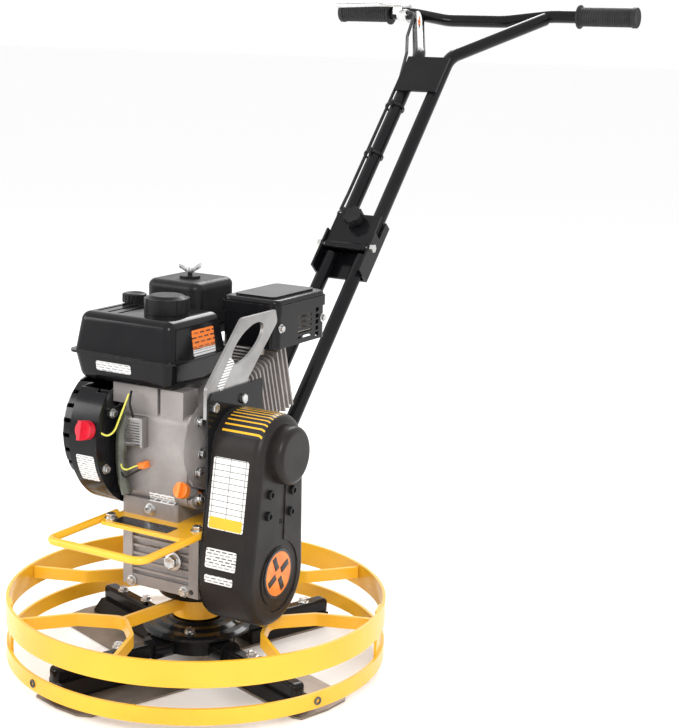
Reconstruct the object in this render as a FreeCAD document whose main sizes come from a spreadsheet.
import FreeCAD, Part
import math
import os
import Sketcher
from FreeCAD import Placement, Rotation, Vector

# Walk-behind power trowel, 610 mm guard ring, belt-driven worm gearbox, petrol engine, folding handle.
# Frame: millimetres, Z up, origin on the floor under the rotor axis.
# +X is the belt side of the engine, +Y points to the operator.

doc = FreeCAD.newDocument("power_trowel")


class Size:
    """A number together with the spreadsheet expression that it comes from."""

    def __init__(self, value, text=None):
        self.value = float(value)
        self.text = text or "(%.6f)" % self.value

    def __float__(self):
        return self.value

    def __add__(self, other):
        other = as_size(other)
        return Size(self.value + other.value, "(%s + %s)" % (self.text, other.text))

    def __sub__(self, other):
        other = as_size(other)
        return Size(self.value - other.value, "(%s - %s)" % (self.text, other.text))

    def __mul__(self, other):
        other = as_size(other)
        return Size(self.value * other.value, "(%s * %s)" % (self.text, other.text))

    def __truediv__(self, other):
        other = as_size(other)
        return Size(self.value / other.value, "(%s / %s)" % (self.text, other.text))

    def __neg__(self):
        return Size(-self.value, "(-1 * %s)" % self.text)

    def __radd__(self, other):
        return as_size(other) + self

    def __rsub__(self, other):
        return as_size(other) - self

    def __rmul__(self, other):
        return as_size(other) * self


def as_size(value):
    return value if isinstance(value, Size) else Size(value)


DRIVING_SIZES = {
    # guard ring
    "ring_radius": 305, "band_thick": 5, "low_band_bottom": 20, "low_band_height": 25,
    "top_band_bottom": 78, "top_band_height": 40, "spoke_bottom": 93, "spoke_height": 20,
    "spoke_angle": -10, "hub_radius": 40, "hub_bottom": 79, "hub_height": 37,
    # rotor
    "shaft_radius": 12.5, "arm_angle": -20, "arm_level": 36, "arm_width": 24, "arm_height": 22,
    "arm_end": 270, "arm_start": 46, "arm_pin_radius": 11, "pitch_clearance": 0.05,
    "spider_radius": 62, "socket_radius": 20, "socket_end": 92, "dome_radius": 88,
    "blade_outer": 290, "blade_inner": 62, "blade_lead": 20, "blade_trail": 100, "blade_thick": 3,
    # gearbox
    "box_half": 72, "box_front": -102, "box_back": 72, "box_bottom": 145, "box_top": 257,
    "worm_back": -63, "worm_level": 201, "worm_radius": 17, "wheel_radius": 45.4,
    # engine plate and carry rail
    "plate_thick": 6, "plate_front": -165, "plate_back": 165, "plate_left": -72, "plate_right": 88,
    "rail_radius": 6, "rail_reach": -276, "rail_level": 260,
    # engine
    "crank_back": -52, "crank_level": 383, "crank_radius": 9.5, "cylinder_tilt": 16,
    "neck_end": 103, "case_left": -72, "case_right": 52, "case_front": -106, "case_top": 460,
    "fan_radius": 117, "fan_left": -124, "fan_right": -72, "recoil_radius": 100, "recoil_left": -168,
    "tank_left": -161, "tank_right": 41, "tank_front": -130, "tank_back": 34,
    "tank_bottom": 468, "seam_level": 511, "seam_thick": 4, "tank_top": 574,
    "cap_x": -30, "cap_y": -47, "cap_radius": 35, "cap_height": 28,
    "cleaner_left": -142, "cleaner_right": -38, "cleaner_front": 45, "cleaner_back": 158,
    "cleaner_bottom": 520, "cleaner_top": 606,
    "guard_left": -8, "guard_right": 96, "guard_front": 70, "guard_back": 224,
    "muffler_bottom": 512, "muffler_top": 590,
    # belt drive and its guard
    "guard_inner": 106, "guard_outer": 192, "guard_wall": 2.5, "guard_top_radius": 64,
    "guard_low_radius": 80, "guard_low_back": -66, "guard_low_level": 199, "boss_radius": 45,
    "boss_height": 20, "belt_centre": 142, "belt_width": 13, "small_pulley": 44, "large_pulley": 64,
    # handle
    "tube_radius": 12.5, "tube_wall": 2.5, "tube_spacing": 64, "handle_slope": 48,
    "foot_level": 263, "hinge_back": 453, "hinge_level": 631, "tube_gap": 12,
    "bar_back": 980, "bar_level": 1043, "bar_half": 325, "bar_dip": 28, "grip_length": 118,
    "grip_radius": 17.5, "branch_x": 140, "splay_along": 458,
}


def make_sheet():
    sheet = doc.addObject("Spreadsheet::Sheet", "Sizes")
    for row, (alias, value) in enumerate(DRIVING_SIZES.items(), 1):
        sheet.set("A%d" % row, alias.replace("_", " "))
        sheet.set("B%d" % row, str(value))
        sheet.setAlias("B%d" % row, alias)
    doc.recompute()
    return sheet


class Sizes:
    """The cells of the sheet, as Size values."""

    def __init__(self, sheet):
        for alias in DRIVING_SIZES:
            setattr(self, alias, Size(sheet.get(alias), "Sizes." + alias))


S = Sizes(make_sheet())
SUBPARTS = []
TURN = {"X": Rotation(Vector(0, 1, 0), 90), "Y": Rotation(Vector(1, 0, 0), -90), "Z": Rotation()}


# ---------------------------------------------------------------- small builders

def bind(obj, prop, size):
    obj.setExpression(prop, as_size(size).text)


def place(obj, x, y, z, rotation=None):
    obj.Placement = Placement(Vector(float(x), float(y), float(z)), rotation or Rotation())
    for axis, size in zip("xyz", (x, y, z)):
        bind(obj, "Placement.Base." + axis, size)
    return obj


def box(span_x, span_y, span_z):
    """A block from the low to the high value of each span."""
    obj = doc.addObject("Part::Box", "Block")
    for prop, span in zip(("Length", "Width", "Height"), (span_x, span_y, span_z)):
        bind(obj, prop, as_size(span[1]) - span[0])
    return place(obj, span_x[0], span_y[0], span_z[0])


def rod(radius, length, start, along="Z"):
    obj = doc.addObject("Part::Cylinder", "Rod")
    bind(obj, "Radius", radius)
    bind(obj, "Height", length)
    return place(obj, *start, rotation=TURN[along])


def cone(low_radius, high_radius, length, start, along="Z"):
    obj = doc.addObject("Part::Cone", "Cone")
    bind(obj, "Radius1", low_radius)
    bind(obj, "Radius2", high_radius)
    bind(obj, "Height", length)
    return place(obj, *start, rotation=TURN[along])


def fuse(*shapes):
    obj = doc.addObject("Part::MultiFuse", "Joined")
    obj.Shapes = list(shapes)
    obj.Refine = True
    return obj


def cut(base, *tools):
    obj = doc.addObject("Part::Cut", "Trimmed")
    obj.Base = base
    obj.Tool = tools[0] if len(tools) == 1 else fuse(*tools)
    obj.Refine = True
    return obj


def round_edges(base, radius, choose):
    """Rounds the edges whose centre passes the choose test."""
    doc.recompute()
    edges = [(number, float(radius), float(radius)) for number, edge in enumerate(base.Shape.Edges, 1)
             if choose(edge)]
    obj = doc.addObject("Part::Fillet", "Rounded")
    obj.Base = base
    obj.Edges = edges
    return obj


def runs_along(edge, axis):
    """True for a straight edge along one of the frame's axes."""
    if len(edge.Vertexes) != 2:
        return False
    span = edge.Vertexes[1].Point - edge.Vertexes[0].Point
    return span.Length > 0.999 * edge.Length and abs(getattr(span, axis)) > 0.999 * span.Length


def centre(edge):
    return edge.BoundBox.Center


def subpart(name, obj):
    obj.Label = name
    SUBPARTS.append(obj)
    return obj


def shape_part(name, shape):
    """A sub-part whose shape comes from Part's own functions."""
    obj = doc.addObject("Part::Feature", name)
    obj.Shape = shape
    obj.Placement = shape.Placement
    return subpart(name, obj)


def new_body(name):
    body = doc.addObject("PartDesign::Body", name)
    return subpart(name, body)


def plane_of(body, role):
    return next(item for item in body.Origin.OriginFeatures if item.Role == role)


def sketch_on(body, role, offset=0):
    sketch = body.newObject("Sketcher::SketchObject", "Sketch")
    sketch.AttachmentSupport = [(plane_of(body, role), "")]
    sketch.MapMode = "FlatFace"
    bind(sketch, "AttachmentOffset.Base.z", offset)
    return sketch


def pin(sketch, geometry, point, x, y):
    for kind, size in (("DistanceX", as_size(x)), ("DistanceY", as_size(y))):
        index = sketch.addConstraint(Sketcher.Constraint(kind, -1, 1, geometry, point, size.value))
        sketch.setExpression("Constraints[%d]" % index, size.text)


def draw_polygon(sketch, points):
    first = sketch.GeometryCount
    count = len(points)
    for i, (x, y) in enumerate(points):
        next_x, next_y = points[(i + 1) % count]
        start = Vector(float(x), float(y), 0)
        end = Vector(float(next_x), float(next_y), 0)
        sketch.addGeometry(Part.LineSegment(start, end), False)
    for i in range(count):
        sketch.addConstraint(Sketcher.Constraint("Coincident", first + i, 2, first + (i + 1) % count, 1))
    for i, (x, y) in enumerate(points):
        pin(sketch, first + i, 1, x, y)


def draw_circle(sketch, x, y, radius):
    circle = Part.Circle(Vector(float(x), float(y), 0), Vector(0, 0, 1), float(radius))
    index = sketch.addGeometry(circle, False)
    pin(sketch, index, 3, x, y)
    limit = sketch.addConstraint(Sketcher.Constraint("Radius", index, float(radius)))
    sketch.setExpression("Constraints[%d]" % limit, as_size(radius).text)


def pad(body, sketch, length):
    """Pads towards the positive frame axis, whichever way the sketch faces."""
    feature = body.newObject("PartDesign::Pad", "Pad")
    feature.Profile = sketch
    feature.Reversed = sketch.AttachmentSupport[0][0].Role == "XZ_Plane"
    bind(feature, "Length", length)
    return feature


def slab(name, role, points, start, length):
    """A plate with a polygon outline, from start along the plane's positive normal."""
    body = new_body(name)
    offset = -as_size(start) if role == "XZ_Plane" else start
    sketch = sketch_on(body, role, offset)
    draw_polygon(sketch, points)
    pad(body, sketch, length)
    return body


def spin(body, role, points, axis):
    """A solid of revolution about the sketch's H_Axis or V_Axis."""
    sketch = sketch_on(body, role)
    draw_polygon(sketch, points)
    feature = body.newObject("PartDesign::Revolution", "Revolution")
    feature.Profile = sketch
    feature.ReferenceAxis = (sketch, [axis])
    feature.Angle = 360
    return feature


def turned(name, points, x=0, y=0, z=0, along="Z"):
    """A turned piece: points are (radius, distance along the axis)."""
    body = new_body(name)
    spin(body, "XZ_Plane", points, "V_Axis")
    place(body, x, y, z, TURN[along])
    return body


# ---------------------------------------------------------------- bent tubes

def bent_wire(points, bend):
    """Straight runs joined by tangent arcs of the given radius."""
    edges = []
    here = points[0]
    for before, corner, after in zip(points, points[1:], points[2:]):
        into = (corner - before).normalize()
        out = (after - corner).normalize()
        turn = into.getAngle(out)
        reach = bend * math.tan(turn / 2)
        arc_start = corner - into * reach
        arc_end = corner + out * reach
        inward = (out - into).normalize()
        middle = corner + inward * (bend / math.cos(turn / 2) - bend)
        edges.append(Part.LineSegment(here, arc_start).toShape())
        edges.append(Part.Arc(arc_start, middle, arc_end).toShape())
        here = arc_end
    edges.append(Part.LineSegment(here, points[-1]).toShape())
    return Part.Wire(edges)


def swept_rod(points, radius, bend):
    wire = bent_wire(points, bend)
    heading = points[1] - points[0]
    section = Part.Wire([Part.Circle(points[0], heading, float(radius)).toShape()])
    return wire.makePipeShell([section], True, False)


# ---------------------------------------------------------------- guard ring

STRAP_ANGLES = (-134, 18, 122)
STRAP_HALF, STRAP_THICK = 17, 4


def guard_ring():
    """Two flat-bar hoops joined by three upright straps."""
    body = new_body("guard_ring")
    inner = S.ring_radius - S.band_thick
    straps = sketch_on(body, "XY_Plane", S.low_band_bottom)
    for angle in STRAP_ANGLES:
        turn = Rotation(Vector(0, 0, 1), angle)
        corners = [turn.multVec(Vector(float(inner) + depth, side, 0))
                   for depth, side in ((-STRAP_THICK, -STRAP_HALF), (0.5, -STRAP_HALF),
                                       (0.5, STRAP_HALF), (-STRAP_THICK, STRAP_HALF))]
        draw_polygon(straps, [(corner.x, corner.y) for corner in corners])
    pad(body, straps, S.top_band_bottom + S.top_band_height - S.low_band_bottom)
    for bottom, height in ((S.low_band_bottom, S.low_band_height), (S.top_band_bottom, S.top_band_height)):
        hoop = sketch_on(body, "XY_Plane", bottom)
        draw_circle(hoop, 0, 0, S.ring_radius)
        draw_circle(hoop, 0, 0, inner)
        pad(body, hoop, height)


def flat_bar(points, bend, thick, bottom, height):
    """A flat bar on edge, bent along a path in plan."""
    path = bent_wire([Vector(x, y, bottom + height / 2) for x, y in points], bend)
    heading = path.Edges[0].tangentAt(path.Edges[0].FirstParameter)
    side = heading.cross(Vector(0, 0, 1)).normalize() * (thick / 2)
    rise = Vector(0, 0, height / 2)
    start = path.Edges[0].firstVertex().Point
    corners = [start + side + rise, start - side + rise, start - side - rise, start + side - rise]
    section = Part.makePolygon(corners + [corners[0]])
    return path.makePipeShell([section], True, False)


def guard_spokes():
    """Bearing hub with four flat-bar spokes, each ending in a bent fork that reaches the hoop."""
    inner = float(S.ring_radius - S.band_thick)
    bottom, height = float(S.spoke_bottom), float(S.spoke_height)
    apex = 158.0
    half_fork = math.radians(21)
    hub = Part.makeCylinder(float(S.hub_radius), float(S.hub_height), Vector(0, 0, float(S.hub_bottom)))
    bore = Part.makeCylinder(29.05, float(S.hub_height) + 2, Vector(0, 0, float(S.hub_bottom) - 1))
    hub = hub.cut(bore)
    end = (inner - 1) * math.cos(half_fork), (inner - 1) * math.sin(half_fork)
    bend_out = (apex + 42, 62)
    fork = flat_bar([(end[0], -end[1]), (bend_out[0], -bend_out[1]), (apex, 0), bend_out, end],
                    24, 6, bottom, height)
    web = Part.makeBox(apex - 30, 6, height, Vector(36, -3, bottom))
    web = web.cut(Part.makeCylinder(38, height + 2, Vector(0, 0, bottom - 1)))
    arm = fork.fuse(web)
    trim = Part.makeCylinder(inner, height + 2, Vector(0, 0, bottom - 1))
    arm = arm.common(trim)
    whole = hub
    for number in range(4):
        turned_arm = arm.copy()
        turned_arm.rotate(Vector(0, 0, 0), Vector(0, 0, 1), float(S.spoke_angle) + 90 * number)
        whole = whole.fuse(turned_arm)
    shape_part("guard_spokes", whole.removeSplitter())


# ---------------------------------------------------------------- rotor, arms and blades

def rotor():
    shaft = fuse(rod(S.shaft_radius, 214, (0, 0, 26)), rod(20, 5, (0, 0, 21)))
    subpart("output_shaft", shaft)
    wheel_bottom = S.worm_level - 14
    wheel = cut(rod(S.wheel_radius, 28, (0, 0, wheel_bottom)),
                rod(S.shaft_radius, 30, (0, 0, wheel_bottom - 1)))
    subpart("worm_wheel", wheel)

    hub = fuse(rod(S.spider_radius, 30, (0, 0, 26)), rod(26, 20, (0, 0, 55)))
    sockets = [socket(S.socket_radius, S.socket_end, number) for number in range(4)]
    bores = [socket(S.arm_pin_radius + S.pitch_clearance, S.socket_end + 2, number, S.arm_start - 0.3)
             for number in range(4)]
    floor_cut = box((-110, 110), (-110, 110), (0, 20))
    flange_seat = rod(20.2, 7, (0, 0, 19))
    body = cut(fuse(hub, *sockets), rod(S.shaft_radius, 60, (0, 0, 20)), flange_seat, floor_cut, *bores)
    subpart("spider", body)

    dome = [(27, 62), (34, 62), (38, 58), (S.dome_radius - 4, 57.5), (S.dome_radius, 59), (S.dome_radius, 63),
            (S.dome_radius - 8, 66), (S.dome_radius - 20, 67), (60, 71), (50, 72), (46, 76), (27, 77)]
    turned("pressure_plate", dome)


def radial(number):
    return Rotation(Vector(0, 0, 1), S.arm_angle.value + 90 * number)


def socket(radius, end, number, start=0):
    """A round bar along one arm's axis."""
    obj = doc.addObject("Part::Cylinder", "Socket")
    bind(obj, "Radius", radius)
    bind(obj, "Height", as_size(end) - start)
    turn = radial(number)
    heading = turn.multVec(Vector(1, 0, 0))
    base = heading * float(start)
    place(obj, base.x, base.y, S.arm_level, turn.multiply(TURN["X"]))
    return obj


def arm_and_blade(number):
    """A square trowel arm with a round pivot end, and the blade bolted under it."""
    half = S.arm_width / 2
    level = S.arm_level
    bar = box((S.socket_end + 1, S.arm_end), (-half, half),
              (level - S.arm_height / 2, level + S.arm_height / 2))
    bar = round_edges(bar, 5, lambda edge: runs_along(edge, "x") and centre(edge).z > float(level))
    bar = round_edges(bar, 9, lambda edge: runs_along(edge, "z") and centre(edge).x > 200)
    pin_end = rod(S.arm_pin_radius, S.socket_end + 6 - S.arm_start, (S.arm_start, 0, level), "X")
    nipple = cone(3.5, 2.5, 6, (150, 0, level + S.arm_height / 2 - 1))
    arm = fuse(bar, pin_end, nipple)
    place(arm, 0, 0, 0, radial(number))
    subpart("trowel_arm_%d" % (number + 1), arm)

    body = new_body("blade_%d" % (number + 1))
    trail, lead = S.blade_trail, S.blade_lead
    outline = sketch_on(body, "XY_Plane")
    draw_polygon(outline, [(S.blade_inner, -lead), (S.blade_outer - 14, -lead), (S.blade_outer, 8 - lead),
                           (S.blade_outer - 3, 40), (S.blade_outer - 14, trail - 16),
                           (S.blade_outer - 30, trail), (S.blade_inner + 22, trail), (S.blade_inner, trail - 22)])
    pad(body, outline, S.blade_thick)
    bar_sketch = sketch_on(body, "YZ_Plane", S.socket_end + 8)
    rise = level - S.arm_height / 2
    draw_polygon(bar_sketch, [(-18, 2), (34, 2), (34, 8), (19, rise), (-17, rise), (-18, rise - 3)])
    pad(body, bar_sketch, S.arm_end - S.socket_end - 14)
    place(body, 0, 0, 0, radial(number))


# ---------------------------------------------------------------- gearbox

def gearbox():
    """Square-flanged worm gearbox: a cored casting with cooling fins, feet and bearing bosses."""
    half, front, back = S.box_half, S.box_front, S.box_back
    bottom, top = S.box_bottom, S.box_top
    core = box((-half + 8, half - 8), (front + 7, back - 6), (bottom + 4, top - 4))
    corner_posts = []
    for x_low, x_high in ((-half, -half + 18), (half - 18, half)):
        for y_low, y_high in ((front, front + 20), (back - 20, back)):
            corner_posts.append(box((x_low, x_high), (y_low, y_high), (bottom, top)))
    fins = []
    for step in range(6):
        level = bottom + 24 + 13 * step
        fins.append(box((-half + 2, half - 2), (front + 2, back - 2), (level, level + 4)))
    frame_bands = [box((-half + 1, half - 1), (front + 1, back - 1), (bottom, bottom + 18)),
                   box((-half + 1, half - 1), (front + 1, back - 1), (top - 14, top))]
    bosses = [rod(34, half * 2 + 6, (-half - 3, S.worm_back + 2, S.worm_level), "X"),
              rod(58, 16, (0, 0, bottom - 14)), rod(14, 8, (26, front - 1, S.worm_level - 2), "Y")]
    solid = fuse(core, *corner_posts, *fins, *frame_bands, *bosses)
    wheel_room = rod(S.wheel_radius + 4, 40, (0, 0, S.worm_level - 20))
    worm_room = rod(S.worm_radius + 4, 104, (-52, S.worm_back, S.worm_level), "X")
    shaft_way = rod(S.shaft_radius + 0.05, 130, (0, 0, bottom - 16))
    worm_way = rod(9.55, 160, (-56, S.worm_back, S.worm_level), "X")
    foot_holes = [rod(4.3, 16, (x, front - 1, bottom + 9), "Y") for x in (half - 13, -half + 13)]
    housing = cut(solid, wheel_room, worm_room, shaft_way, worm_way, *foot_holes)
    subpart("gearbox_housing", housing)

    flange = [(S.shaft_radius + 0.5, 78), (29, 78), (29, 117), (61, 117), (63, 119), (63, 128), (60, 131),
              (S.shaft_radius + 0.5, 131)]
    turned("output_flange", flange)

    worm_x = -50
    reach = S.guard_outer - 22 - worm_x
    worm = fuse(rod(9.5, reach, (worm_x, S.worm_back, S.worm_level), "X"),
                rod(S.worm_radius - 0.3, 70, (-35, S.worm_back, S.worm_level), "X"))
    subpart("worm_shaft", worm)


# ---------------------------------------------------------------- belt drive

def pulley(name, radius, hub_start, back, level, bore):
    """V-belt pulley, profile as (radius, distance along the shaft from the belt's centre)."""
    groove = S.belt_width / 2 + 1.2
    rim = radius + 5
    profile = [(bore, hub_start), (24, hub_start), (24, -6), (radius - 18, -6), (radius - 18, -12), (rim, -12),
               (rim, -groove), (radius - 10, -4), (radius - 10, 4), (rim, groove), (rim, 12), (radius - 18, 12),
               (radius - 18, 6), (24, 6), (24, 16), (bore, 16)]
    turned(name, profile, S.belt_centre, back, level, "X")


def belt_shape(offset_top, offset_low, start, length):
    """The outline of a belt round both pulleys, as a solid."""
    top_y, top_z = float(S.crank_back), float(S.crank_level)
    low_y, low_z = float(S.worm_back), float(S.worm_level)
    gap = math.hypot(top_y - low_y, top_z - low_z)
    lean = math.atan2(top_y - low_y, top_z - low_z)
    swing = math.asin((offset_low - offset_top) / gap)
    solid = None
    corners = []
    for side in (-1, 1):
        angle = lean + side * (math.pi / 2 - swing) if side > 0 else lean - (math.pi / 2 - swing)
        direction = Vector(0, math.sin(angle), math.cos(angle))
        low = Vector(start, low_y, low_z) + direction * offset_low
        high = Vector(start, top_y, top_z) + direction * offset_top
        corners.append((low, high))
    loop = [corners[0][0], corners[0][1], corners[1][1], corners[1][0], corners[0][0]]
    solid = Part.Face(Part.makePolygon(loop)).extrude(Vector(length, 0, 0))
    for y, z, radius in ((low_y, low_z, offset_low), (top_y, top_z, offset_top)):
        solid = solid.fuse(Part.makeCylinder(radius, length, Vector(start, y, z), Vector(1, 0, 0)))
    return solid.removeSplitter()


def belt_drive():
    pulley("driven_pulley", S.large_pulley, -30, S.worm_back, S.worm_level, 9.5)
    pulley("clutch_pulley", S.small_pulley, -26, S.crank_back, S.crank_level, S.crank_radius)
    start = float(S.belt_centre) - 5
    rise = 0.6
    outer = belt_shape(float(S.small_pulley) + 4, float(S.large_pulley) + 4, start, 10)
    inner = belt_shape(float(S.small_pulley) - 10 + 7 + rise, float(S.large_pulley) - 10 + 7 + rise,
                       start - 1, 12)
    shape_part("drive_belt", outer.cut(inner))


def tangent_outline(sketch, top_radius, low_radius):
    """The guard's outline: two round ends joined by tangent straight sides."""
    centres = ((float(S.crank_back) - 3, float(S.crank_level)),
               (float(S.guard_low_back), float(S.guard_low_level)))
    (top_y, top_z), (low_y, low_z) = centres
    gap = math.hypot(top_y - low_y, top_z - low_z)
    lean = math.atan2(top_z - low_z, top_y - low_y)
    swing = math.acos((float(low_radius) - float(top_radius)) / gap)
    right, left = lean - swing, lean + swing
    normal = Vector(0, 0, 1)
    top = Part.ArcOfCircle(Part.Circle(Vector(top_y, top_z, 0), normal, float(top_radius)), right, left)
    low = Part.ArcOfCircle(Part.Circle(Vector(low_y, low_z, 0), normal, float(low_radius)), left,
                           right + 2 * math.pi)
    first = sketch.addGeometry(top, False)
    second = sketch.addGeometry(low, False)
    left_side = sketch.addGeometry(Part.LineSegment(top.EndPoint, low.StartPoint), False)
    right_side = sketch.addGeometry(Part.LineSegment(low.EndPoint, top.StartPoint), False)
    for link in ((first, 2, left_side, 1), (left_side, 2, second, 1), (second, 2, right_side, 1),
                 (right_side, 2, first, 1)):
        sketch.addConstraint(Sketcher.Constraint("Tangent", *link))
    pin(sketch, first, 3, S.crank_back - 3, S.crank_level)
    pin(sketch, second, 3, S.guard_low_back, S.guard_low_level)
    for arc, radius in ((first, top_radius), (second, low_radius)):
        index = sketch.addConstraint(Sketcher.Constraint("Radius", arc, float(radius)))
        sketch.setExpression("Constraints[%d]" % index, as_size(radius).text)


def belt_guard():
    """Pressed cover over both pulleys, open towards the engine, and the plate behind it."""
    body = new_body("belt_guard_cover")
    outline = sketch_on(body, "YZ_Plane", S.guard_inner)
    tangent_outline(outline, S.guard_top_radius, S.guard_low_radius)
    shell = pad(body, outline, S.guard_outer - S.guard_inner)
    doc.recompute()
    rim = ["Edge%d" % number for number, edge in enumerate(shell.Shape.Edges, 1)
           if centre(edge).x > float(S.guard_outer) - 0.5]
    soft = body.newObject("PartDesign::Fillet", "Shoulder")
    soft.Base = (shell, rim)
    soft.Radius = 14
    boss_sketch = sketch_on(body, "YZ_Plane", S.guard_outer - 1)
    draw_circle(boss_sketch, S.crank_back + 2, S.crank_level + 2, S.boss_radius)
    boss = pad(body, boss_sketch, S.boss_height + 1)
    doc.recompute()
    boss_rim = ["Edge%d" % number for number, edge in enumerate(boss.Shape.Edges, 1)
                if centre(edge).x > float(S.guard_outer + S.boss_height) - 0.5]
    soft_boss = body.newObject("PartDesign::Fillet", "BossShoulder")
    soft_boss.Base = (boss, boss_rim)
    soft_boss.Radius = 10
    hollow_sketch = sketch_on(body, "YZ_Plane", S.guard_inner - 1)
    tangent_outline(hollow_sketch, S.guard_top_radius - S.guard_wall, S.guard_low_radius - S.guard_wall)
    hollow = body.newObject("PartDesign::Pocket", "Hollow")
    hollow.Profile = hollow_sketch
    hollow.Reversed = True
    bind(hollow, "Length", S.guard_outer - S.guard_inner - 10)
    emboss_sketch = sketch_on(body, "YZ_Plane", S.guard_outer)
    draw_circle(emboss_sketch, S.guard_low_back + 3, S.guard_low_level - 2, 56)
    draw_circle(emboss_sketch, S.guard_low_back + 3, S.guard_low_level - 2, 46)
    emboss = body.newObject("PartDesign::Pocket", "RingGroove")
    emboss.Profile = emboss_sketch
    emboss.Length = 1.8
    channel_sketch = sketch_on(body, "YZ_Plane", S.guard_outer)
    channel_left, channel_right = S.guard_low_back + 4, S.guard_low_back + 18
    draw_polygon(channel_sketch, [(channel_left, S.guard_low_level + 51), (channel_right, S.guard_low_level + 51),
                                  (channel_right + 2, S.guard_low_level + 142),
                                  (channel_left - 2, S.guard_low_level + 142)])
    channel = body.newObject("PartDesign::Pocket", "Channel")
    channel.Profile = channel_sketch
    channel.Length = 1.8

    plate = new_body("belt_guard_back")
    flat = sketch_on(plate, "YZ_Plane", S.guard_inner - 4)
    tangent_outline(flat, S.guard_top_radius - 0.5, S.guard_low_radius - 0.5)
    pad(plate, flat, 4)
    wing = sketch_on(plate, "YZ_Plane", S.guard_inner - 4)
    draw_polygon(wing, [(-128, 240), (20, 240), (20, 478), (-118, 478), (-128, 466)])
    pad(plate, wing, 3)
    doc.recompute()
    holes = sketch_on(plate, "YZ_Plane", S.guard_inner)
    draw_circle(holes, S.crank_back, S.crank_level, 30)
    draw_circle(holes, S.worm_back, S.worm_level, 30)
    opened = plate.newObject("PartDesign::Pocket", "ShaftHoles")
    opened.Profile = holes
    opened.Length = 8


def lifting_bracket():
    """Steel lifting plate with an oval hand hole, bolted to the guard's back plate."""
    body = new_body("lifting_bracket")
    outline = sketch_on(body, "YZ_Plane", S.guard_inner - 9.5)
    draw_polygon(outline, [(-128, 440), (-17, 440), (-17, 484), (64, 560), (58, 579), (-35, 579), (-98, 516),
                           (-128, 486)])
    plate = pad(body, outline, 5.5)
    doc.recompute()
    soft = plate
    for radius, low_y, high_y, low_z in ((24, 50, 70, 550), (14, -60, -20, 570), (12, -140, -90, 480)):
        corners = ["Edge%d" % number for number, edge in enumerate(soft.Shape.Edges, 1)
                   if runs_along(edge, "x") and low_y < centre(edge).y < high_y and centre(edge).z > low_z]
        base = soft
        soft = body.newObject("PartDesign::Fillet", "PlateCorners")
        soft.Base = (base, corners[:1] if radius == 24 else corners)
        soft.Radius = radius if radius != 24 else 9
        doc.recompute()
    hole = sketch_on(body, "YZ_Plane", S.guard_inner - 4)
    slope = math.radians(27)
    middle, reach, half_width = Vector(-20, 539, 0), 48, 20
    along = Vector(math.cos(slope), math.sin(slope), 0)
    across = Vector(-math.sin(slope), math.cos(slope), 0)
    oval = hole.addGeometry(Part.Ellipse(middle + along * reach, middle + across * half_width, middle), False)
    hole.addConstraint(Sketcher.Constraint("Block", oval))
    opened = body.newObject("PartDesign::Pocket", "HandHole")
    opened.Profile = hole
    opened.Length = 10


# ---------------------------------------------------------------- engine plate

def engine_plate():
    left, right = S.plate_left, S.plate_right
    front, back = S.plate_front, S.plate_back
    body = slab("engine_plate", "XY_Plane",
                [(left + 6, front), (right - 6, front), (right, front + 8), (right, back), (left, back),
                 (left, front + 8)], S.box_top, S.plate_thick)
    ear = sketch_on(body, "XY_Plane", S.box_top)
    draw_polygon(ear, [(right - 1, -60), (S.guard_inner - 4, -60), (S.guard_inner - 4, 14), (right - 1, 14)])
    pad(body, ear, S.plate_thick)
    doc.recompute()
    holes = sketch_on(body, "XY_Plane", S.box_top + S.plate_thick)
    for x in (S.box_half - 10, 10 - S.box_half):
        for y in (S.box_front + 10, S.box_back - 10):
            draw_circle(holes, x, y, 4.5)
    opened = body.newObject("PartDesign::Pocket", "BoltHoles")
    opened.Profile = holes
    opened.Length = 12

    level = float(S.rail_level)
    left_x, right_x, reach = float(left) - 3, float(right) + 3, float(S.rail_reach)
    start_y = float(front) + 55
    points = [Vector(left_x - 3.2, start_y, level), Vector(left_x - 3.2, reach, level),
              Vector(right_x + 3.2, reach, level), Vector(right_x + 3.2, start_y, level)]
    shape_part("carry_rail", swept_rod(points, float(S.rail_radius), 16))


# ---------------------------------------------------------------- engine

def on_dipstick_axis(obj):
    """Moves a piece built along +Z to the dipstick's way, which slopes down into the crankcase."""
    lean = math.radians(20)
    start = float(obj.Placement.Base.z)
    y = S.case_front - 10 + start * math.cos(lean)
    z = 319.8 - start * math.sin(lean)
    return place(obj, 51, y, z, Rotation(Vector(1, 0, 0), -110))


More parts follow.
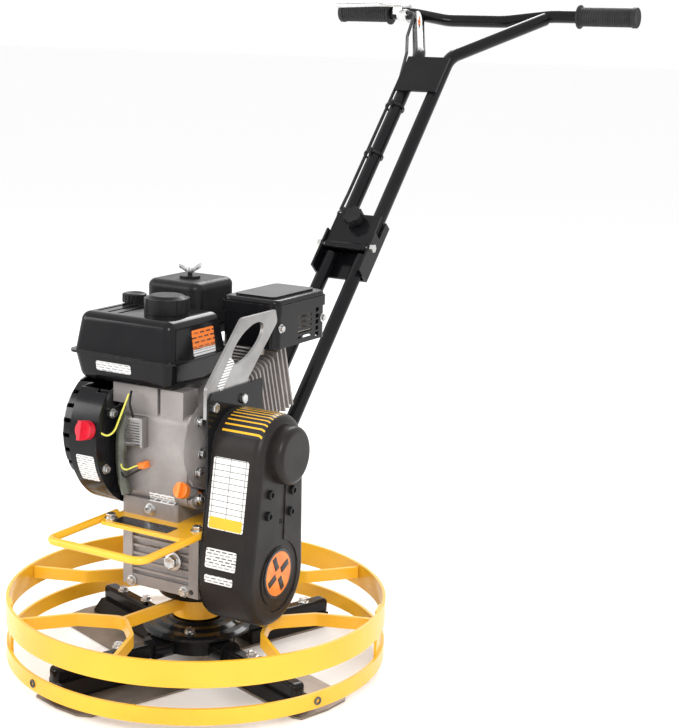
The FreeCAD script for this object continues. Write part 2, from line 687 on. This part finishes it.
def crankcase():
    left, right, front, top = S.case_left, S.case_right, S.case_front, S.case_top
    base = S.box_top + S.plate_thick
    block = box((left, right), (front, 42), (base + 24, top - 30))
    block = round_edges(block, 16, lambda edge: runs_along(edge, "x"))
    foot = box((left + 2, right - 16), (front - 1, 55), (base, base + 28))
    foot = round_edges(foot, 4, lambda edge: runs_along(edge, "z"))
    neck = rod(54, S.neck_end, (0, 0, 0))
    place(neck, -2, S.crank_back, S.crank_level, Rotation(Vector(1, 0, 0), -(90 - S.cylinder_tilt.value)))
    post_top = S.tank_bottom - 0.3
    left_post = slab("LeftPost", "XZ_Plane",
                     [(left - 18, top - 23), (left - 18, post_top), (-6, post_top), (-6, top - 36),
                      (left + 8, top - 36), (left + 5, top - 23)], -103, 40)
    SUBPARTS.remove(left_post)
    tank_posts = [left_post, box((0, 42), (-103, -64), (top - 36, post_top))]
    fan_seat = rod(58, 22, (left - 20, S.crank_back, S.crank_level), "X")
    bearing_bore = rod(S.crank_radius + 0.05, 190, (left - 40, S.crank_back, S.crank_level), "X")
    crank_room = rod(52, right - left - 24, (left + 12, S.crank_back, S.crank_level), "X")
    dip_way = on_dipstick_axis(rod(6.5, 60, (0, 0, 0)))
    dip_boss = on_dipstick_axis(rod(11, 22, (0, 0, 4)))
    body = cut(fuse(block, foot, neck, fan_seat, dip_boss, *tank_posts), bearing_bore, crank_room, dip_way)
    subpart("crankcase", body)

    plate = box((right, right + 9), (front + 2, 40), (base + 22, top - 26))
    plate = round_edges(plate, 18, lambda edge: runs_along(edge, "x"))
    dome = cone(74, 40, 16, (right + 8, S.crank_back, S.crank_level), "X")
    nose = rod(26, 34, (right + 8, S.crank_back, S.crank_level), "X")
    dip_room = on_dipstick_axis(rod(13, 70, (0, 0, -4)))
    bosses = []
    for y, z in ((front + 12, 425), (front + 8, 378), (front + 8, 348), (front + 14, 302), (28, 425),
                 (28, 300), (-52, 424)):
        bosses.append(rod(9, 13, (right, y, z), "X"))
    way = rod(S.crank_radius + 0.05, 60, (right - 5, S.crank_back, S.crank_level), "X")
    room = rod(52, 6, (right - 1, S.crank_back, S.crank_level), "X")
    subpart("crankcase_cover", cut(fuse(plate, dome, nose, *bosses), way, room, dip_room))


def local_block(span_x, span_y, span_z):
    """A block in the cylinder's own frame: Z runs along the cylinder's axis."""
    shape = Part.makeBox(span_x[1] - span_x[0], span_y[1] - span_y[0], span_z[1] - span_z[0],
                         Vector(span_x[0], span_y[0], span_z[0]))
    return shape


def to_cylinder_frame(shape):
    shape.rotate(Vector(0, 0, 0), Vector(1, 0, 0), -(90 - float(S.cylinder_tilt)))
    shape.translate(Vector(-2, float(S.crank_back), float(S.crank_level)))
    return shape


def cylinder_and_head():
    neck_end = float(S.neck_end) + 0.2
    barrel = Part.makeCylinder(46, 209 - neck_end, Vector(0, 0, neck_end))
    for step in range(10):
        fin = local_block((-58, 58), (-54, 54), (104 + 10.5 * step, 107.5 + 10.5 * step))
        fin = fin.makeFillet(12, [edge for edge in fin.Edges if runs_along(edge, "z")])
        barrel = barrel.fuse(fin)
    shape_part("engine_cylinder", to_cylinder_frame(barrel.removeSplitter()))

    head = local_block((-52, 52), (-48, 48), (209.2, 244))
    for step in range(3):
        fin = local_block((-59, 59), (-54, 54), (210 + 12 * step, 214 + 12 * step))
        head = head.fuse(fin)
    cover = local_block((-40, 40), (-36, 36), (244, 268))
    cover = cover.makeFillet(9, [edge for edge in cover.Edges if centre(edge).z > 250])
    head = head.fuse(cover).fuse(local_block((-46, 46), (-42, 42), (243, 247)))
    shape_part("cylinder_head", to_cylinder_frame(head.removeSplitter()))


def crank_group():
    shaft_start = S.recoil_left + 46
    shaft = fuse(rod(S.crank_radius, S.belt_centre + 17 - shaft_start,
                     (shaft_start, S.crank_back, S.crank_level), "X"),
                 rod(46, 18, (S.case_left + 24, S.crank_back, S.crank_level), "X"),
                 rod(46, 18, (S.case_right - 44, S.crank_back, S.crank_level), "X"))
    subpart("crankshaft", shaft)
    disc = [(S.crank_radius, -8), (20, -8), (24, 4), (74, 4), (77, 8), (77, 14), (20, 18), (S.crank_radius, 18)]
    body = new_body("flywheel_fan")
    spin(body, "XZ_Plane", disc, "V_Axis")
    vane_sketch = sketch_on(body, "XY_Plane", -14)
    draw_polygon(vane_sketch, [(46, -1.5), (74, -1.5), (74, 1.5), (46, 1.5)])
    vane = pad(body, vane_sketch, 19)
    vanes = body.newObject("PartDesign::PolarPattern", "Vanes")
    vanes.Originals = [vane]
    vanes.Axis = (plane_of(body, "Z_Axis"), [""])
    vanes.Angle = 360
    vanes.Occurrences = 12
    body.Tip = vanes
    place(body, S.fan_left + 12, S.crank_back, S.crank_level, TURN["X"])


def fan_and_recoil():
    """Sheet steel fan housing, flat under the tank, and the louvred recoil starter cover."""
    back, level = S.crank_back, S.crank_level
    length = S.fan_right - S.fan_left
    drum = rod(S.fan_radius, length, (S.fan_left, back, level), "X")
    hollow = rod(S.fan_radius - 2.5, length, (S.fan_left - 2.5, back, level), "X")
    throat = rod(60, 10, (S.fan_right - 5, back, level), "X")
    post_room = box((S.fan_right - 20, S.fan_right + 5), (back - 90, back + 110), (level + 50, level + 90))
    scroll = box((S.fan_left, S.fan_right), (back, 70), (level - 20, S.tank_bottom - 6))
    scroll_hollow = box((S.fan_left - 2.5, S.fan_right - 2.5), (back, 67.5),
                        (level - 17.5, S.tank_bottom - 8.5))
    top_trim = box((S.fan_left - 5, S.fan_right + 5), (back - 150, back + 220),
                   (S.tank_bottom - 6, level + 150))
    housing = cut(fuse(drum, scroll), hollow, scroll_hollow, throat, post_room, top_trim)
    subpart("fan_housing", housing)

    radius = S.recoil_radius
    depth = S.fan_left - S.recoil_left
    body = doc.addObject("PartDesign::Body", "RecoilShell")
    shell = [(0, depth), (40, depth), (radius - 18, depth - 2), (radius - 3, depth - 16), (radius, 4),
             (radius + 9, 2), (radius + 9, 0), (radius - 3, 0), (radius - 5.5, depth - 17),
             (radius - 20, depth - 4.5), (40, depth - 2.5), (0, depth - 2.5)]
    spin(body, "XZ_Plane", shell, "V_Axis")
    doc.recompute()
    slot_sketch = sketch_on(body, "XZ_Plane", 120)
    draw_polygon(slot_sketch, [(-3.5, 5), (3.5, 5), (3.5, depth - 8), (-3.5, depth - 8)])
    slots = body.newObject("PartDesign::Pocket", "Louvre")
    slots.Profile = slot_sketch
    slots.Length = 34
    pattern = body.newObject("PartDesign::PolarPattern", "Louvres")
    pattern.Originals = [slots]
    pattern.Axis = (plane_of(body, "Z_Axis"), [""])
    pattern.Angle = 360
    pattern.Occurrences = 26
    body.Tip = pattern
    place(body, S.fan_left - 0.2, back, level, Rotation(Vector(0, 1, 0), -90))
    rope_way = rod(3.5, 60, (S.fan_left - 22, back + 60, level + 40), "Y")
    tank_room = box((S.recoil_left - 5, S.fan_left + 5), (back - 150, back + 150),
                    (S.tank_bottom - 6, level + 150))
    subpart("recoil_cover", cut(body, rope_way, tank_room))


def fuel_tank():
    """Two pressed shells joined at a seam flange, with ribs pressed into the top."""
    left, right, front, back = S.tank_left, S.tank_right, S.tank_front, S.tank_back
    seam, top, bottom = S.seam_level, S.tank_top, S.tank_bottom
    body = new_body("fuel_tank")

    def rectangle(level, inset):
        sketch = sketch_on(body, "XY_Plane", level)
        draw_polygon(sketch, [(left + inset, front + inset), (right - inset, front + inset),
                              (right - inset, back - inset), (left + inset, back - inset)])
        return sketch

    def soften(feature, radius, choose, name):
        doc.recompute()
        edges = ["Edge%d" % number for number, edge in enumerate(feature.Shape.Edges, 1) if choose(edge)]
        soft = body.newObject("PartDesign::Fillet", name)
        soft.Base = (feature, edges)
        soft.Radius = radius
        return soft

    seam_z = float(seam)
    flange = pad(body, rectangle(seam, 0), S.seam_thick)
    soften(flange, 18, lambda edge: runs_along(edge, "z"), "FlangeCorners")
    upper = pad(body, rectangle(seam, 6), top - seam)
    upper.TaperAngle = -8
    soften(upper, 15, lambda edge: centre(edge).z > seam_z + 8, "UpperCorners")
    lower = pad(body, rectangle(seam + 1, 6), seam + 1 - bottom)
    lower.Reversed = True
    lower.TaperAngle = -10
    soften(lower, 16, lambda edge: centre(edge).z < seam_z - 8, "LowerCorners")
    ribs = body.newObject("PartDesign::Pocket", "TopRibs")
    ribs_sketch = sketch_on(body, "XY_Plane", top)
    for x in (-128, -108, -88):
        draw_polygon(ribs_sketch, [(x, front + 34), (x + 6, front + 34), (x + 6, back - 34), (x, back - 34)])
    ribs.Profile = ribs_sketch
    ribs.Length = 3


def intake_and_exhaust():
    left, right = S.cleaner_left, S.cleaner_right
    front, back, bottom, top = S.cleaner_front, S.cleaner_back, S.cleaner_bottom, S.cleaner_top
    cover = box((left, right), (front, back), (bottom + 12, top))
    cover = round_edges(cover, 18, lambda edge: runs_along(edge, "z"))
    cover = round_edges(cover, 12, lambda edge: centre(edge).z > float(top) - 1)
    tray = box((left - 3, right + 3), (front - 2, back + 3), (bottom, bottom + 12))
    tray = round_edges(tray, 16, lambda edge: runs_along(edge, "z"))
    cleaner = fuse(cover, tray, rod(17, 5, (-88, 96, top - 1)), rod(4, 12, (-88, 96, top)))
    subpart("air_cleaner", cleaner)

    barrel = rod(20, 52, (-88, 84, 470), "Y")
    carburettor = fuse(barrel, box((-104, -72), (92, 124), (452, 488)), rod(17, 28, (-88, 108, 426)),
                       rod(22, 33.2, (-88, 100, 486.5)), box((-86, -68), (90, 126), (462, 478)))
    carburettor = cut(carburettor, rod(3.45, 36, (-130, 108, 498), "X"))
    subpart("carburettor", carburettor)

    g_left, g_right, g_front, g_back = S.guard_left, S.guard_right, S.guard_front, S.guard_back
    m_bottom, m_top = S.muffler_bottom, S.muffler_top
    can = box((g_left + 10, g_right - 10), (g_front + 8, g_back - 8), (m_bottom + 8, m_top - 8))
    can = round_edges(can, 14, lambda edge: runs_along(edge, "y"))
    pipe = rod(13, 31, (30, 118, m_bottom - 21))
    can_room = box((g_left + 12, g_right - 12), (g_front + 10, g_back - 10), (m_bottom + 10, m_top - 10))
    subpart("muffler", fuse(cut(can, can_room), pipe))
    shell = box((g_left, g_right), (g_front, g_back), (m_bottom, m_top))
    shell = round_edges(shell, 14, lambda edge: runs_along(edge, "z"))
    shell = round_edges(shell, 6, lambda edge: centre(edge).z > float(m_top) - 1)
    room = box((g_left + 2, g_right - 2), (g_front + 2, g_back - 2), (m_bottom - 1, m_top - 2))
    room = round_edges(room, 12.5, lambda edge: runs_along(edge, "z"))
    rim = box((g_left - 2.5, g_right + 2.5), (g_front - 2.5, g_back + 2.5), (m_top - 24, m_top - 8))
    rim = round_edges(rim, 15, lambda edge: runs_along(edge, "z"))
    panel = box((g_left + 14, g_right - 14), (g_front + 14, g_back - 14), (m_top - 1, m_top + 3))
    panel = round_edges(panel, 10, lambda edge: runs_along(edge, "z"))
    slots = [box((g_right - 6, g_right + 4), (g_front + 66, g_back - 46), (z, z + 4))
             for z in (m_bottom + 8 + 8.5 * step for step in range(5))]
    windows = [box((g_right - 6, g_right + 4), (g_back - 34, g_back - 24), (z, z + 7))
               for z in (m_bottom + 5 + 10 * step for step in range(5))]
    subpart("muffler_guard", cut(fuse(shell, rim, panel), room, *slots, *windows))


def engine_controls():
    """Fuel cap, dipstick, stop switch, recoil grip and choke lever."""
    cap_base = S.tank_top + 0.3
    rim = rod(S.cap_radius, S.cap_height - 4, (S.cap_x, S.cap_y, cap_base))
    flutes = []
    for step in range(8):
        angle = math.radians(45 * step + 22)
        flutes.append(rod(5, 40, (S.cap_x.value + 38 * math.cos(angle), S.cap_y.value + 38 * math.sin(angle),
                                  cap_base + 3)))
    crown = cone(S.cap_radius - 3, S.cap_radius - 10, 5, (S.cap_x, S.cap_y, cap_base + S.cap_height - 5))
    subpart("fuel_cap", fuse(cut(rim, *flutes), crown))

    head = rod(12.5, 10, (0, 0, -6.3))
    grip = box((-3, 3), (-11, 11), (-13, -6))
    stick = rod(6, 50, (0, 0, -4))
    dipstick = on_dipstick_axis(fuse(head, grip, stick))
    subpart("dipstick", dipstick)

    switch = fuse(rod(15, 12, (0, 0, 0)), box((-3, 3), (-15, 15), (11, 22)))
    lean = math.radians(10)
    place(switch, -89, S.crank_back - (S.fan_radius + 0.3) * math.cos(lean),
          S.crank_level + (S.fan_radius + 0.3) * math.sin(lean), Rotation(Vector(1, 0, 0), 80))
    subpart("stop_switch", switch)

    grip_y, grip_z = S.crank_back + 101, S.crank_level + 40
    handle = fuse(box((S.fan_left - 30, S.fan_left - 14), (grip_y, grip_y + 20), (grip_z - 24, grip_z + 24)),
                  rod(2.5, 125, (S.fan_left - 22, grip_y - 115, grip_z), "Y"))
    subpart("recoil_grip", handle)

    lever = fuse(rod(3.4, 38, (-134, 108, 498), "X"), box((-138, -134), (80, 112), (494, 502)))
    subpart("choke_lever", lever)


def wiring():
    """Switch lead from the fan housing to the coil plug, held against the crankcase front."""
    front = float(S.case_front)
    points = [Vector(-50, front - 11, 424), Vector(-61, front - 14, 398), Vector(-62, front - 14, 350),
              Vector(-58, front - 13, 316), Vector(-53, front - 11, 298)]
    shape_part("wiring_loom", swept_rod(points, 9, 40))


# ---------------------------------------------------------------- handle

def slope_point(along, up=0.0, x=0.0):
    """A point measured from the fold hinge: along the handle, and up normal to it."""
    slope = math.radians(float(S.handle_slope))
    y = float(S.hinge_back) + along * math.cos(slope) - up * math.sin(slope)
    z = float(S.hinge_level) + along * math.sin(slope) + up * math.cos(slope)
    return Vector(x, y, z)


def handle_block(span_x, span_along, span_up):
    """A block in the handle's frame, X across, Y along the handle, Z normal to it."""
    shape = local_block(span_x, span_along, span_up)
    shape.rotate(Vector(0, 0, 0), Vector(1, 0, 0), float(S.handle_slope))
    shape.translate(Vector(0, float(S.hinge_back), float(S.hinge_level)))
    return shape


TUBE_DROP = -17.0
KNOB_ALONG = 53.0


def lower_handle():
    """Two straight tubes welded to a foot bracket and to the folding channel."""
    half = float(S.tube_spacing) / 2
    slope = math.radians(float(S.handle_slope))
    base = float(S.box_top + S.plate_thick)
    below_sole = local_block((-60, 60), (0, 300), (base - 60, base + 5))
    foot = slope_point(0, TUBE_DROP)
    drop = (foot.z - float(S.foot_level)) / math.sin(slope)
    for name, x in (("lower_tube_left", -half), ("lower_tube_right", half)):
        ends = [slope_point(-drop, TUBE_DROP, x), slope_point(-float(S.tube_gap), TUBE_DROP, x)]
        axis = ends[1] - ends[0]
        outer = Part.makeCylinder(float(S.tube_radius), axis.Length, ends[0], axis)
        inner = Part.makeCylinder(float(S.tube_radius) - float(S.tube_wall), axis.Length, ends[0], axis)
        shape_part(name, outer.cut(inner).cut(below_sole))
    low = slope_point(-drop, TUBE_DROP)
    sole = local_block((-half - 22, half + 22), (low.y - 42, float(S.plate_back) - 4), (base, base + 5))
    cheeks = []
    for x in (-half - 18.5, half + 13.5):
        corners = [Vector(x, low.y - 38, base + 4), Vector(x, low.y + 20, base + 4),
                   Vector(x, low.y + 62, base + 58), Vector(x, low.y + 44, base + 70),
                   Vector(x, low.y - 38, base + 16)]
        cheeks.append(Part.Face(Part.makePolygon(corners + corners[:1])).extrude(Vector(5, 0, 0)))
    shape_part("handle_foot", sole.fuse(cheeks[0]).fuse(cheeks[1]).removeSplitter())

    width = half + float(S.tube_radius) + 3.5
    web = handle_block((-width, width), (-52, 0), (TUBE_DROP - 16.5, TUBE_DROP - 12.5))
    web = web.fuse(handle_block((-width, width), (-1, 66), (TUBE_DROP - 16.5, TUBE_DROP - 13.1)))
    sides = [handle_block((sign * width - 2, sign * width + 2), (-52, 66), (TUBE_DROP - 16.5, 5))
             for sign in (-1, 1)]
    channel = web.fuse(sides)
    for sign in (-1, 1):
        corner = handle_block((sign * width - 3, sign * width + 3), (30, 70), (-16, 8))
        channel = channel.cut(corner)
    slot = handle_block((-5.5, 5.5), (42, 66), (TUBE_DROP - 18, TUBE_DROP - 11))
    pin_axis = slope_point(0, -2, 0)
    pin_hole = Part.makeCylinder(4.05, 2 * width + 10, pin_axis - Vector(width + 5, 0, 0), Vector(1, 0, 0))
    channel = channel.cut(slot).cut(pin_hole)
    shape_part("fold_channel", channel.removeSplitter())


def upper_handle():
    half = float(S.tube_spacing) / 2
    bar_y, bar_z = float(S.bar_back), float(S.bar_level)
    tube = float(S.tube_radius)
    dip = Vector(0, -0.90, -0.43) * float(S.bar_dip)
    splay = slope_point(float(S.splay_along), TUBE_DROP)
    top = Vector(0, bar_y, bar_z)
    bar_points = [top + Vector(-float(S.bar_half) + 3, 0, 0), top + Vector(-150, 0, 0),
                  top + Vector(-62, 0, 0) + dip, top + Vector(62, 0, 0) + dip, top + Vector(150, 0, 0),
                  top + Vector(float(S.bar_half) - 3, 0, 0)]
    bar = swept_rod(bar_points, tube, 70)
    shape_part("handlebar", bar.cut(swept_rod(bar_points, tube - float(S.tube_wall), 70)))
    for name, side in (("upper_tube_left", -1), ("upper_tube_right", 1)):
        start = slope_point(float(S.tube_gap), TUBE_DROP, side * half)
        bend = Vector(side * half, splay.y, splay.z)
        join = top + Vector(side * float(S.branch_x), -10, -6)
        outer = swept_rod([start, bend, join], tube, 60)
        inner = swept_rod([start, bend, join], tube - float(S.tube_wall), 60)
        shape_part(name, outer.cut(inner).cut(bar))

    plate = handle_block((-44, 44), (361, 444), (TUBE_DROP + tube, TUBE_DROP + tube + 4))
    shape_part("control_plate", plate)

    fold = handle_block((-45, 45), (-4, 69), (TUBE_DROP + tube + 0.5, TUBE_DROP + tube + 4.5))
    lip = Part.makeCylinder(6.5, 84, slope_point(0, -2, -42), Vector(1, 0, 0))
    pin_hole = Part.makeCylinder(4.05, 110, slope_point(0, -2, -55), Vector(1, 0, 0))
    stud_hole = Part.makeCylinder(4.05, 20, slope_point(KNOB_ALONG, -20),
                                  slope_point(0, 1) - slope_point(0, 0))
    shape_part("fold_plate", fold.fuse(lip).cut(pin_hole).cut(stud_hole).removeSplitter())

    width = half + tube + 3.5
    bolt = Part.makeCylinder(4, 2 * width + 16, slope_point(0, -2, -width - 8), Vector(1, 0, 0))
    for x in (-width - 9, width + 2.3):
        bolt = bolt.fuse(hexagon(slope_point(0, -2, x), 6.7, 6.5))
    shape_part("hinge_bolt", bolt)

    up = slope_point(0, 1) - slope_point(0, 0)
    seat = slope_point(KNOB_ALONG, TUBE_DROP + tube + 4.8)
    stud = Part.makeCylinder(4, 34, seat - up * 33, up)
    knob = Part.makeCylinder(10, 12, seat, up)
    star = Part.makeCylinder(18, 14, seat + up * 8, up)
    for step in range(6):
        flute = Part.makeCylinder(4.5, 20, seat + up * 6, up)
        side = Vector(1, 0, 0) * 20 * math.cos(math.radians(60 * step))
        ahead = (slope_point(1) - slope_point(0)) * 20 * math.sin(math.radians(60 * step))
        flute.translate(side + ahead)
        star = star.cut(flute)
    shape_part("lock_knob", stud.fuse(knob).fuse(star).removeSplitter())

    for name, side in (("grip_left", -1), ("grip_right", 1)):
        grip(name, side, top)


def hexagon(base, across_half, length):
    """A hexagon bolt head along +X."""
    radius = across_half / math.cos(math.radians(30))
    corners = [base + Vector(0, radius * math.cos(math.radians(60 * i)), radius * math.sin(math.radians(60 * i)))
               for i in range(7)]
    return Part.Face(Part.makePolygon(corners)).extrude(Vector(length, 0, 0))


def grip(name, side, top):
    """Ribbed rubber grip, closed at the outer end, with a flange at the inner end."""
    bar_half, length, radius = S.bar_half, S.grip_length, S.grip_radius
    body = new_body(name)
    inner_end = bar_half - length
    profile = [(S.tube_radius, inner_end), (23, inner_end), (23, inner_end + 3), (radius, inner_end + 6),
               (radius - 1, inner_end + 30), (radius - 1, bar_half - 30), (radius, bar_half - 12),
               (radius + 1, bar_half - 8), (radius + 1, bar_half - 1), (radius - 1, bar_half + 1), (0, bar_half + 1),
               (0, bar_half - 2.9), (S.tube_radius, bar_half - 2.9)]
    spin(body, "XZ_Plane", profile, "V_Axis")
    turn = Rotation(Vector(0, 1, 0), 90 * side)
    place(body, 0, S.bar_back, S.bar_level, turn)


def handle_controls():
    """Lever bracket clamped on the bar, its hand lever, and the cable clipped down the left tube."""
    bar_y, bar_z = float(S.bar_back), float(S.bar_level)
    tube = float(S.tube_radius)
    clamp_x = -186.0
    clamp = Part.makeCylinder(tube + 6, 20, Vector(clamp_x, bar_y, bar_z), Vector(1, 0, 0))
    clamp = clamp.fuse(local_block((clamp_x, clamp_x + 20), (bar_y - 34, bar_y), (bar_z - 2, bar_z + 12)))
    clamp = clamp.fuse(Part.makeCylinder(6, 22, Vector(clamp_x + 14, bar_y - 28, bar_z + 2),
                                         Vector(1, -0.35, 0)))
    clamp = clamp.cut(Part.makeCylinder(tube, 30, Vector(clamp_x - 5, bar_y, bar_z), Vector(1, 0, 0)))
    pivot = Vector(clamp_x + 6, bar_y - 30, bar_z + 12.3)
    pivot_hole = Part.makeCylinder(3.05, 40, pivot - Vector(0, 0, 30), Vector(0, 0, 1))
    shape_part("lever_clamp", clamp.cut(pivot_hole).removeSplitter())

    lever_points = [pivot + Vector(14, -4, 5), pivot + Vector(-24, -22, 5), pivot + Vector(-128, -24, 1)]
    lever = swept_rod(lever_points, 4.5, 20)
    pin_post = Part.makeCylinder(3, 24, pivot - Vector(0, 0, 13), Vector(0, 0, 1))
    pad_eye = Part.makeCylinder(9, 8, pivot, Vector(0, 0, 1))
    shape_part("hand_lever", lever.fuse(pin_post).fuse(pad_eye).removeSplitter())

    half = float(S.tube_spacing) / 2
    side = -half - tube - 4.2
    points = [Vector(clamp_x + 35.6, bar_y - 35.6, bar_z + 2), Vector(-131, 937, bar_z + 1),
              Vector(-110, 868, 997), Vector(-69, 790, 966),
              slope_point(400, TUBE_DROP + 6, side), slope_point(120, TUBE_DROP + 6, side),
              slope_point(86, TUBE_DROP + 2, side - 4)]
    shape_part("throttle_cable", swept_rod(points, 3, 22))


# ---------------------------------------------------------------- build and export

def check_document():
    doc.recompute()
    problems = []
    for obj in doc.Objects:
        if "Invalid" in obj.State or "Error" in obj.State:
            problems.append("%s (%s) %s" % (obj.Name, obj.Label, obj.State))
    for obj in SUBPARTS:
        if obj.Shape.isNull() or not obj.Shape.isValid() or not obj.Shape.Solids:
            problems.append("%s has no valid solid" % obj.Label)
    if problems:
        raise RuntimeError("; ".join(problems))


def export():
    os.makedirs("parts", exist_ok=True)
    for obj in SUBPARTS:
        obj.Shape.exportStep("parts/%s.step" % obj.Label)
    print("wrote", len(SUBPARTS), "sub-parts")


guard_ring()
guard_spokes()
rotor()
for arm_number in range(4):
    arm_and_blade(arm_number)
gearbox()
belt_drive()
belt_guard()
lifting_bracket()
engine_plate()
crankcase()
cylinder_and_head()
crank_group()
fan_and_recoil()
fuel_tank()
intake_and_exhaust()
engine_controls()
wiring()
lower_handle()
upper_handle()
handle_controls()
check_document()
export()
